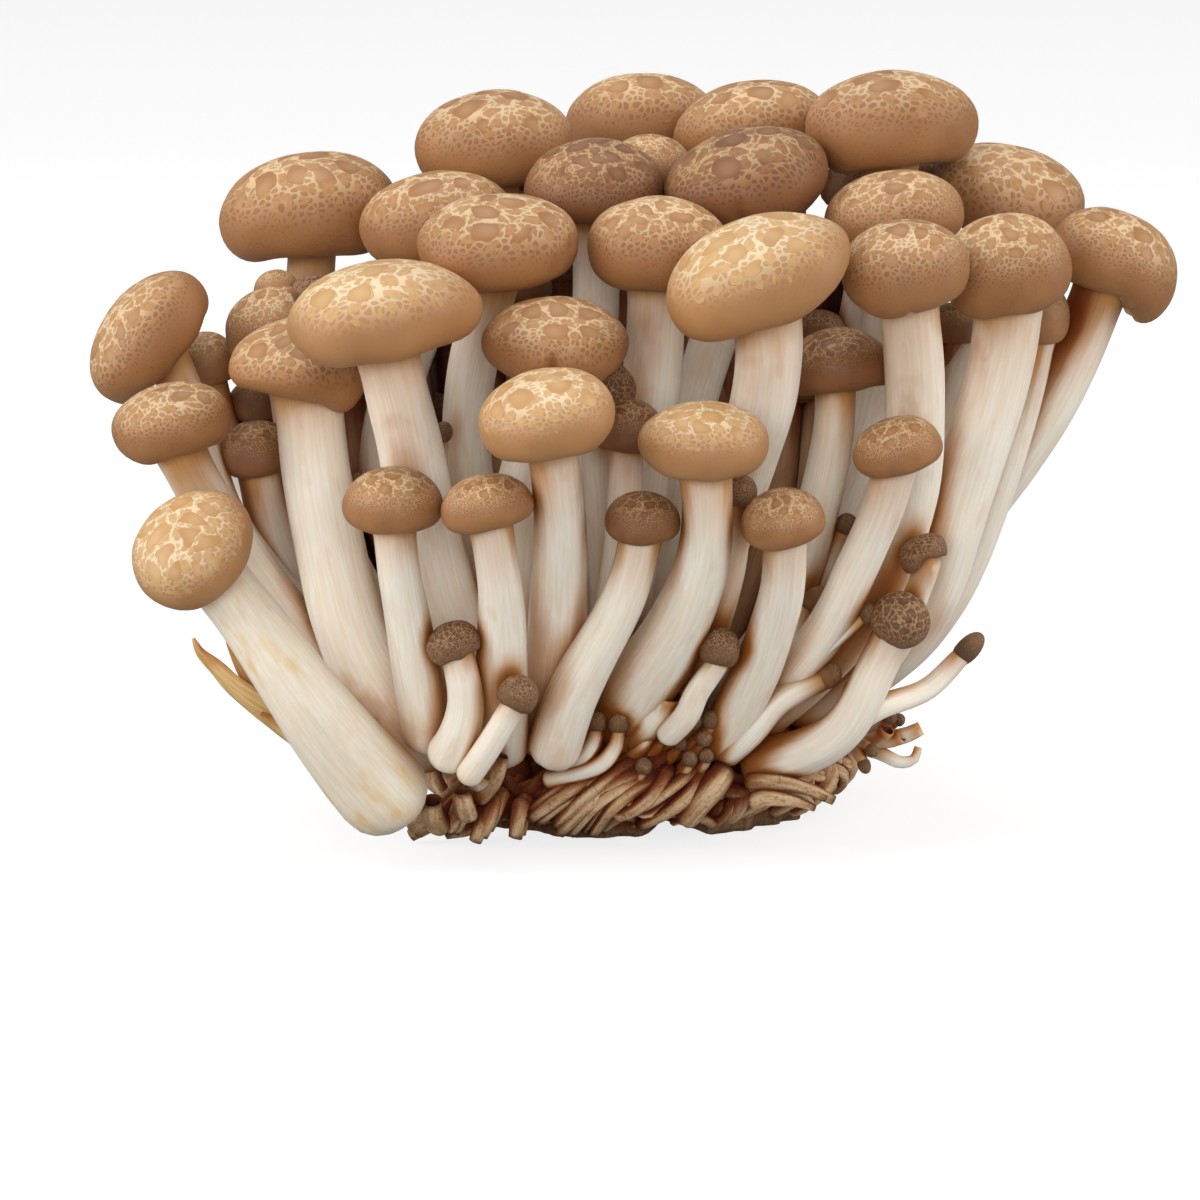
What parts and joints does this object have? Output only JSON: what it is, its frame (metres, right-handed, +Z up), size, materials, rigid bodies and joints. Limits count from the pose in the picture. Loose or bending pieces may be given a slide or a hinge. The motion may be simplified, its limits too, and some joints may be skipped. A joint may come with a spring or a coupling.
{
  "type": "beech mushroom cluster",
  "caption": "Upright cluster of brown beech mushrooms with netted tan caps on pale curved stems that fan out from one cut base.",
  "frame": {"origin": "middle of the cluster's bounding box in plan, at the flat cut face that it stands on", "axes": "+Z up, +X to the right along the cluster's longest extent, +Y to the back"},
  "size_m": [0.1474, 0.1106, 0.1008],
  "materials": {
    "cap_skin": "satin, tan with a pale net",
    "stem_flesh": "satin, creamy white with fine lengthwise fibres",
    "young_flesh": "satin, brown cap and creamy white stem in one piece",
    "base_mass": "matt, beige-brown and fibrous"
  },
  "bodies": {
    "root": {"root_base": "base_mass", "stem_01": "stem_flesh", "cap_01": "cap_skin", "stem_02": "stem_flesh", "cap_02": "cap_skin", "stem_03": "stem_flesh", "cap_03": "cap_skin", "stem_04": "stem_flesh", "cap_04": "cap_skin", "stem_05": "stem_flesh", "cap_05": "cap_skin", "stem_06": "stem_flesh", "cap_06": "cap_skin", "stem_07": "stem_flesh", "cap_07": "cap_skin", "stem_08": "stem_flesh", "cap_08": "cap_skin", "stem_09": "stem_flesh", "cap_09": "cap_skin", "stem_10": "stem_flesh", "cap_10": "cap_skin", "stem_11": "stem_flesh", "cap_11": "cap_skin", "stem_12": "stem_flesh", "cap_12": "cap_skin", "stem_13": "stem_flesh", "cap_13": "cap_skin", "stem_14": "stem_flesh", "cap_14": "cap_skin", "stem_15": "stem_flesh", "cap_15": "cap_skin", "stem_16": "stem_flesh", "cap_16": "cap_skin", "stem_17": "stem_flesh", "cap_17": "cap_skin", "stem_18": "stem_flesh", "cap_18": "cap_skin", "stem_19": "stem_flesh", "cap_19": "cap_skin", "stem_20": "stem_flesh", "cap_20": "cap_skin", "stem_21": "stem_flesh", "cap_21": "cap_skin", "stem_22": "stem_flesh", "cap_22": "cap_skin", "young_01": "young_flesh", "young_02": "young_flesh", "young_03": "young_flesh", "young_04": "young_flesh", "young_05": "young_flesh", "young_06": "young_flesh", "young_07": "young_flesh", "young_08": "young_flesh", "young_09": "young_flesh", "young_10": "young_flesh", "young_11": "young_flesh", "young_12": "young_flesh", "young_13": "young_flesh", "young_14": "young_flesh", "young_15": "young_flesh"}
  },
  "joints": []
}
